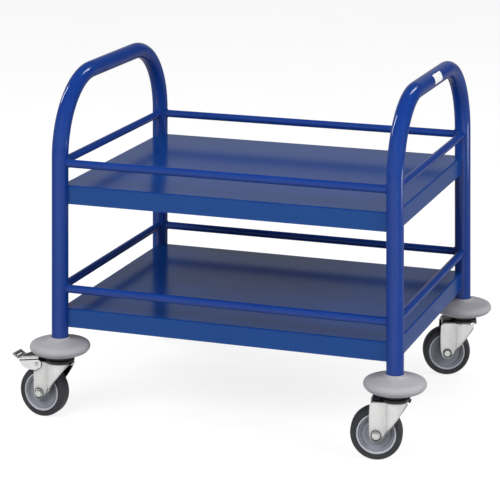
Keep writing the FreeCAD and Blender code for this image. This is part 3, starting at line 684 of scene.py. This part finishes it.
def hexagon_head(flats, depth, chamfer, dome):
    """A hexagon head along -Y from y 0, chamfered to a circle and slightly domed."""
    verts, faces = [], []
    sides = 72
    sixth = math.pi / 3
    circle = flats / 2 * 0.97
    rings = [(0, None), (depth - chamfer, None), (depth, circle)]
    for share in (0.85, 0.6, 0.3, 0.05):
        rings.append((depth + dome * (1 - share**2), circle * share))
    for height, round_radius in rings:
        for side in range(sides):
            angle = math.tau * side / sides + math.pi / 6
            radius = round_radius or flats / 2 / math.cos(angle % sixth - sixth / 2)
            verts.append((radius * math.cos(angle), -height, radius * math.sin(angle)))
    for ring in range(len(rings) - 1):
        for side in range(sides):
            here, follow = ring * sides + side, ring * sides + (side + 1) % sides
            faces.append((here, follow, follow + sides, here + sides))
    faces.append(tuple(range(sides)))
    faces.append(tuple((len(rings) - 1) * sides + side for side in range(sides)))
    return verts, faces


def turned_y(profile, segments=72):
    """A (radius, y) outline turned about the Y axis."""
    verts, faces = lathe(profile, segments)
    return [(x, z, y) for x, y, z in verts], faces


def washer(low, high):
    """A flat washer between two places along the axle."""
    bore, rim = 4.1, 8.2
    return turned_y(rounded([(bore, low), (rim, low), (rim, high), (bore, high)], 0.3, 3))


def make_axle(corner):
    """Bolt head on a washer at one side, nut and thread end at the other."""
    matrix = caster_matrix(corner)
    at_axle = Matrix.Translation((-TRAIL, 0, AXLE))
    flats, seat = 13, 23.4
    shank = [(0.01, -23), (3.9, -23), (3.9, 33.4), (3.4, 34.0), (0.01, 34.0)]
    head = hexagon_head(flats, 4.4, chamfer=1.2, dome=0.9)
    bolt = joined(
        washer(-22.4, -23.6), moved(head, Matrix.Translation((0, -seat, 0))), turned_y(shank)
    )
    verts, faces = moved(bolt, at_axle)
    new_piece(
        f"axle_screw_{corner}", verts, faces, f"fork_{corner}", BOLT, matrix, 35,
        (f"axle_bolt_{corner}",),
    )
    turn = Matrix.Rotation(math.pi, 4, "Z")
    hexagon = hexagon_head(flats, 5.6, chamfer=1.0, dome=0.0)
    nut = joined(washer(22.4, 23.6), moved(hexagon, Matrix.Translation((0, seat, 0)) @ turn))
    verts, faces = moved(nut, at_axle)
    new_piece(
        f"axle_hexagon_{corner}", verts, faces, f"fork_{corner}", BOLT, matrix, 35,
        (f"axle_nut_{corner}",),
    )


# ---------------------------------------------------------------- wheels


SEAT = 38.0


def both_sides(half):
    """Half a wheel's outline, and its mirror image, as one rounded outline."""
    mirrored = [(point[0], -point[1], *point[2:]) for point in reversed(half)]
    return rounded(half + mirrored, 0.2, 3)


def make_wheel(corner):
    """Dished wheel centre with a bright rim ring and stepped hub, and its tyre."""
    matrix = caster_matrix(corner) @ Matrix.Translation((-TRAIL, 0, AXLE))
    rim = [(SEAT, 14.5), (37.4, 15.0, 0.5), (34.9, 15.0, 0.8), (34.1, 11.6, 0.5)]
    step = [(33.0, 11.6, 0.5), (32.4, 12.8, 0.5), (30.6, 12.4, 0.9), (28.2, 8.4, 1.2)]
    web = [(22.6, 7.6, 0.8), (21.6, 9.6, 0.6), (19.6, 9.8, 0.8), (18.4, 8.6, 0.8)]
    hub = [(14.2, 10.2, 1.5), (12.8, 15.8, 1.0), (11.2, 19.0, 0.7), (6.1, 19.0, 0.2)]
    verts, faces = turned_y(both_sides(rim + step + web + hub), 120)
    centre = new_piece(
        f"wheel_dish_{corner}", verts, faces, f"wheel_{corner}", WEB, matrix, 32,
        (f"wheel_centre_{corner}",),
    )
    centre.data.materials.append(LIGHTER_RING)
    # Faces beyond ring_from take the lighter copy of the wheel plastic.
    local = matrix.inverted()
    ring_from = 34.2
    for face in centre.data.polygons:
        spot = local @ face.center
        if math.hypot(spot.x, spot.z) > ring_from:
            face.material_index = 1
    side = [(SEAT, 14.4), (39.2, 15.3, 0.6), (41.6, 15.95, 1.0), (43.2, 15.5, 0.3), (43.8, 15.95, 0.5)]
    tread = [(46.0, 15.3, 2), (48.6, 13.0, 3), (49.85, 9.0, 4), (AXLE, 2.0, 2), (AXLE, 0.5, 0.3)]
    verts, faces = turned_y(both_sides(side + tread), 144)
    new_piece(
        f"tyre_ring_{corner}", verts, faces, f"wheel_{corner}", TYRE, matrix, 35,
        (f"tyre_{corner}",),
    )


# ---------------------------------------------------------------- brakes

PIVOT = (-40, 107.5)
PLATE_END = -80
PLATE_HALF = 25.4
PAD_INNER = Vector((-86.3, 111.5))
PAD_OUTER = Vector((-100.3, 119.5))
PAD_HALF = 16.1


def plate_top(x):
    """Height of the pedal's sloping top plate."""
    drop, length = 7.5, 44
    return PIVOT[1] + 13 - (-x - 36) * drop / length


def skin(sections):
    """A solid between outlines of equal point count, closed at both ends."""
    count = len(sections[0])
    verts = [point for section in sections for point in section]
    faces = []
    for index in range(len(sections) - 1):
        for step in range(count):
            follow = (step + 1) % count
            here, there = index * count, (index + 1) * count
            faces.append((here + step, here + follow, there + follow, there + step))
    faces.append(tuple(range(count)))
    faces.append(tuple((len(sections) - 1) * count + step for step in range(count)))
    return verts, faces


def make_lever(corner):
    """Top plate with rounded edges, the two side plates under it, and black strips of painted shade in
    the gap between them.
    """
    matrix = caster_matrix(corner)
    half, low, high, web = PLATE_HALF, -1.9, 1.8, -0.6
    flange = 3
    outline = [
        (-half, low), (-half, high), (half, high), (half, low), (half - flange, low),
        (half - flange, web), (flange - half, web), (flange - half, low),
    ]
    section = rounded(outline, 0.6, 5)
    stations = [-35.6, -36.4] + [-36.4 - 43.6 * step / 12 for step in range(1, 12)] + [-79.6, -80.6]
    sections = []
    for index, x in enumerate(stations):
        inset = 0.7 if index in (0, len(stations) - 1) else 0
        lift = plate_top(x) + 0.2
        sections.append(
            [(x, y * (1 - inset / half), lift + z * (1 - inset / flange)) for y, z in section]
        )
    gap = 4.0
    cheek = [
        (-36.5, plate_top(-36) - gap, 2), (-79.5, plate_top(-79.5) - gap, 0.8),
        (PLATE_END, plate_top(PLATE_END) - gap - 1.2, 0.8), (-76.2, 103.2, 20), (-68.5, 97.4, 20),
        (-57.5, 95.0, 12), (-43, 95.0, 3), (-30, 102.5, 4), (-30, 112.5, 4),
    ]
    outline = rounded(cheek, 1, 5)
    verts, faces = joined(skin(sections), block(outline, -25.0, -23.1), block(outline, 23.1, 25.0))
    lever = new_piece(
        f"pedal_lever_{corner}", verts, faces, f"pedal_{corner}", LEVER, matrix, 35,
        (f"brake_pedal_{corner}",),
    )
    soften(lever, 0.4, 3, 50)
    # Painted shade: black strips inside the gap between the top plate and the side plates, standing for
    # the dark in the gap.
    front, back = -37, -79.8
    gap_shade_outline = [
        (front, plate_top(front) - 0.5), (back, plate_top(back) - 0.5),
        (back, plate_top(back) - gap - 0.6), (front, plate_top(front) - gap - 0.6),
    ]
    sides = [block(rounded(gap_shade_outline, 0.5, 3), *reach) for reach in ((-24.2, -22.9), (22.9, 24.2))]
    verts, faces = joined(*sides)
    new_piece(f"pedal_gap_shade_{corner}", verts, faces, f"pedal_{corner}", BLACK, matrix, 35)


def make_rivet(corner):
    """Tubular rivet: a shank and a rolled, dimpled head at each side."""
    shank, head = 2.9, 4.5
    outline = [
        (0.01, 26.0), (1.5, 26.0, 0.5), (2.3, 27.0, 0.5), (3.3, 27.0, 0.8), (head, 25.7, 0.6),
        (head, 25.1, 0.1), (shank, 25.1), (shank, 0), (0.01, 0),
    ]
    profile = rounded(outline, 0.1, 4)
    near = turned_y([(r, -y) for r, y in profile], 48)
    pivot = Matrix.Translation((PIVOT[0], 0, PIVOT[1]))
    verts, faces = moved(joined(near, turned_y(profile, 48)), pivot)
    new_piece(
        f"pedal_rivet_{corner}", verts, faces, f"fork_{corner}", BOLT, caster_matrix(corner), 35,
        (f"brake_pin_{corner}",),
    )


def pedal_hump():
    """A ribbed hump along the top plate."""
    front, length, half = -44, 36.5, 13.5
    height, ripple, waves = 3.6, 0.55, 6
    steps = 36
    sections = []
    for step in range(steps + 1):
        share = step / steps
        x = front - length * share
        rise = 1.9 + height * math.sin(math.pi * min(1, share * 1.05)) ** 0.8
        wave = ripple * math.cos(share * math.tau * waves) * (1 - abs(2 * share - 1))
        base = plate_top(x) + 1.5
        top = plate_top(x) + rise + wave
        waist, brow = base + (top - base) * 0.55, base + (top - base) * 0.9
        across = [(-half, base), (-half, waist), (-half * 0.86, brow)]
        across += [(half * s, top + 0.25 * (1 - abs(s))) for s in (-0.6, -0.3, 0, 0.3, 0.6)]
        across += [(half * 0.86, brow), (half, waist), (half, base)]
        sections.append([(x, y, z) for y, z in across])
    return skin(sections)


def pedal_neck():
    """The strap that joins the hump to the foot pad."""
    low, high = plate_top(PLATE_END) - 2.5, plate_top(PLATE_END) + 2.2
    outline = [
        (-79, low), (-79, high), (-83.0, high - 1.0), (PAD_INNER.x - 0.4, PAD_INNER.y - 0.4),
        (PAD_INNER.x - 1.4, PAD_INNER.y - 3.2), (-83, low - 1.0),
    ]
    return block(rounded(outline, 0.8, 3), -13, 13)


def make_pedal_moulding(corner):
    """Ribbed hump on the top plate, then a slotted foot pad that slopes up."""
    matrix = caster_matrix(corner)
    body = f"pedal_{corner}"
    verts, faces = joined(pedal_hump(), pedal_neck())
    new_piece(
        f"pedal_moulding_{corner}", verts, faces, body, BLACK, matrix, 35, (f"pedal_pad_{corner}",)
    )

    # The pad is drawn flat, x out along it, then tilted to its slope.
    length = (PAD_OUTER - PAD_INNER).length
    slope = math.atan2(PAD_OUTER.y - PAD_INNER.y, PAD_INNER.x - PAD_OUTER.x)
    flip = Matrix.Scale(-1, 4, (1, 0, 0))
    tilt = Matrix.Translation((PAD_INNER.x, 0, PAD_INNER.y)) @ Matrix.Rotation(slope, 4, "Y") @ flip
    thick, sunk, side, half = 3.0, -0.9, 2.4, 15
    slot_low, slot_high, slot_half = length * 0.43, length * 0.58, 11.0

    def bar(x0, x1, y0, y1, z0=-thick, z1=0.0):
        return block(rounded([(x0, z0), (x1, z0), (x1, z1), (x0, z1)], 0.5, 3), y0, y1)

    border = [
        bar(0, length, -PAD_HALF, -PAD_HALF + side),
        bar(0, length, PAD_HALF - side, PAD_HALF),
        bar(0, side, -PAD_HALF + 0.5, PAD_HALF - 0.5),
        bar(length - side, length, -PAD_HALF + 0.5, PAD_HALF - 0.5),
    ]
    verts, faces = moved(joined(*border), tilt)
    rim = new_piece(f"pad_border_{corner}", verts, faces, body, PAD, matrix, 35)
    soften(rim, 0.35, 2, 50)
    floor = [
        bar(1, slot_low, -half, half, -thick, sunk),
        bar(slot_high, length - 1, -half, half, -thick, sunk),
        bar(1, length - 1, -half, -slot_half, -thick, sunk),
        bar(1, length - 1, slot_half, half, -thick, sunk),
    ]
    verts, faces = moved(joined(*floor), tilt)
    new_piece(f"pad_floor_{corner}", verts, faces, body, BLACK, matrix, 35)
    ribs = []
    for start in (3.1, 4.8, slot_high + 1.0, slot_high + 2.7):
        ribs.append(bar(start, start + 0.9, -13.5, 13.5, -1.2, -0.1))
    verts, faces = moved(joined(*ribs), tilt)
    new_piece(f"pad_ribs_{corner}", verts, faces, body, PAD, matrix, 35)


for name in CORNERS:
    make_bumper(name)
    make_dust_cover(name)
    make_fork(name)
    make_axle(name)
    make_wheel(name)
for name in BRAKED:
    make_lever(name)
    make_rivet(name)
    make_pedal_moulding(name)
    soften(nodes[f"brake_shoe_{name}"], 0.5, 3)

# ---------------------------------------------------------------- floor, light, camera


def ray_is(tree, kind):
    return tree.nodes.new("ShaderNodeLightPath").outputs[f"Is {kind} Ray"]


def make_stage():
    """Pale paper that glows, so its shadows stay faint: the glow is painted light. Reflections see
    it bright in front and close by, and dim behind."""
    bpy.ops.mesh.primitive_plane_add(size=60, location=(0, 0, floor_z))
    ground = bpy.context.object
    ground.name = "floor"
    made, tree, shader, place = new_material("floor_paper")
    cloud = spread(tree, noise(tree, place, scale=2.5, detail=3), 0, 1)
    tone = mix_colours(tree, cloud, (0.22, 0.22, 0.22), (0.24, 0.24, 0.24))
    link(tree, tone, shader.inputs["Base Color"])
    shader.inputs["Roughness"].default_value = 0.9
    shader.inputs["Specular IOR Level"].default_value = 0.1
    shader.inputs["Emission Color"].default_value = (1, 1, 1, 1)
    shape = tree.nodes.new("ShaderNodeNewGeometry")
    split = tree.nodes.new("ShaderNodeSeparateXYZ")
    link(tree, shape.outputs["Incoming"], split.inputs["Vector"])
    far = spread(tree, split.outputs["Y"], 0.04, 0.50, start=0.56, end=0.87)
    reach = tree.nodes.new("ShaderNodeLightPath").outputs["Ray Length"]
    near = spread(tree, reach, 0.44, 0.0, start=0.48, end=0.66)
    mirrored = calculate(tree, "MAXIMUM", far, near)
    # Painted light: how strongly the floor glows for other rays, for the camera, and for reflections.
    cast, seen = 0.24, 0.82
    others = mix_values(tree, ray_is(tree, "Glossy"), cast, mirrored)
    glow = mix_values(tree, ray_is(tree, "Camera"), others, seen)
    link(tree, glow, shader.inputs["Emission Strength"])
    ground.data.materials.append(made)


def make_world():
    """Even soft light. Reflections see a bright front, a glow low down and a dim back right."""
    world = bpy.data.worlds.new("studio")
    bpy.context.scene.world = world
    world.use_nodes = True
    tree = world.node_tree
    tree.nodes.clear()
    coords = tree.nodes.new("ShaderNodeTexCoord")
    split = tree.nodes.new("ShaderNodeSeparateXYZ")
    link(tree, coords.outputs["Generated"], split.inputs["Vector"])
    glow = spread(tree, split.outputs["Z"], 0.40, 0.08, start=0.22, end=0.48)
    behind = spread(tree, split.outputs["Y"], 0.0, 0.8, start=0.2, end=0.6)
    right = spread(tree, split.outputs["X"], 0.0, 1.0, start=0.0, end=0.25)
    dim = calculate(tree, "MULTIPLY", behind, right)
    glow = calculate(tree, "SUBTRACT", glow, calculate(tree, "MULTIPLY", glow, dim))
    front = spread(tree, split.outputs["Y"], 0.35, 0.0, start=-0.9, end=-0.1)

    def background(colour, strength):
        node = tree.nodes.new("ShaderNodeBackground")
        node.inputs["Color"].default_value = colour
        if isinstance(strength, float):
            node.inputs["Strength"].default_value = strength
        else:
            link(tree, strength, node.inputs["Strength"])
        return node.outputs["Background"]

    def either(kind, otherwise, for_kind):
        node = tree.nodes.new("ShaderNodeMixShader")
        link(tree, ray_is(tree, kind), node.inputs["Fac"])
        link(tree, otherwise, node.inputs[1])
        link(tree, for_kind, node.inputs[2])
        return node.outputs["Shader"]

    white, pale, grey = (1, 1, 1, 1), (0.9, 0.9, 0.9, 1), (0.8, 0.8, 0.8, 1)
    cast = background(white, 0.40)
    mirrored = background(grey, calculate(tree, "ADD", glow, front))
    seen = background(pale, 1.0)
    out = tree.nodes.new("ShaderNodeOutputWorld")
    lit = either("Glossy", cast, mirrored)
    link(tree, either("Camera", lit, seen), out.inputs["Surface"])


def add_light(name, place, target, size, power, mirrored=True):
    """A panel of light. One that isn't mirrored leaves no highlight."""
    data = bpy.data.lights.new(name, "AREA")
    data.shape = "RECTANGLE"
    data.size, data.size_y = size
    data.energy = power
    lamp = bpy.data.objects.new(name, data)
    bpy.context.scene.collection.objects.link(lamp)
    lamp.location = place
    lamp.rotation_euler = (Vector(target) - Vector(place)).to_track_quat("-Z", "Y").to_euler()
    lamp.visible_glossy = mirrored
    lamp.visible_camera = False


EYE = (1.41957, -4.11750, 0.97924)
RISE = -1.10722


def make_camera():
    """A level camera with a raised back, so that upright edges stay parallel. The rise
    belongs to this viewpoint alone, so a driver drops it when the camera is elsewhere."""
    data = bpy.data.cameras.new("camera")
    data.lens = 151.605
    data.sensor_width = 36
    eye = bpy.data.objects.new("camera", data)
    bpy.context.scene.collection.objects.link(eye)
    eye.location = EYE
    eye.rotation_euler = (math.radians(90), 0, 0.3404)
    data.clip_end = 200
    driver = data.driver_add("shift_y").driver
    driver.type = "SCRIPTED"
    height = driver.variables.new()
    height.name = "eye"
    height.type = "SINGLE_PROP"
    height.targets[0].id_type = "OBJECT"
    height.targets[0].id = eye
    height.targets[0].data_path = "location[2]"
    driver.expression = f"{RISE} if abs(eye - {EYE[2]}) < 0.0005 else 0"
    bpy.context.scene.camera = eye


make_stage()
make_world()
HANDLES = (0, 0, 0.2)
SHELVES = (0, 0, -0.2)
add_light("left_strip", (-3.1, 0.54, 2.0), HANDLES, size=(0.24, 1.5), power=26)
add_light("back_strip", (1.26, 2.57, 2.98), HANDLES, size=(0.24, 1.7), power=24)
add_light("low_strip", (1.9, 0.5, -0.25), (0.3, 0, -0.35), size=(0.5, 0.25), power=3)
add_light("key", (-1.0, -3.6, 2.5), SHELVES, size=(3.0, 2.0), power=162, mirrored=False)
add_light("fill", (3.2, -0.6, 2.0), SHELVES, size=(1.6, 2.4), power=85, mirrored=False)
add_light("low_fill", (1.5, -1.3, -0.30), (0.3, 0.26, -0.32), size=(0.6, 0.3), power=5, mirrored=False)
make_camera()
bpy.context.scene.view_settings.view_transform = "Standard"
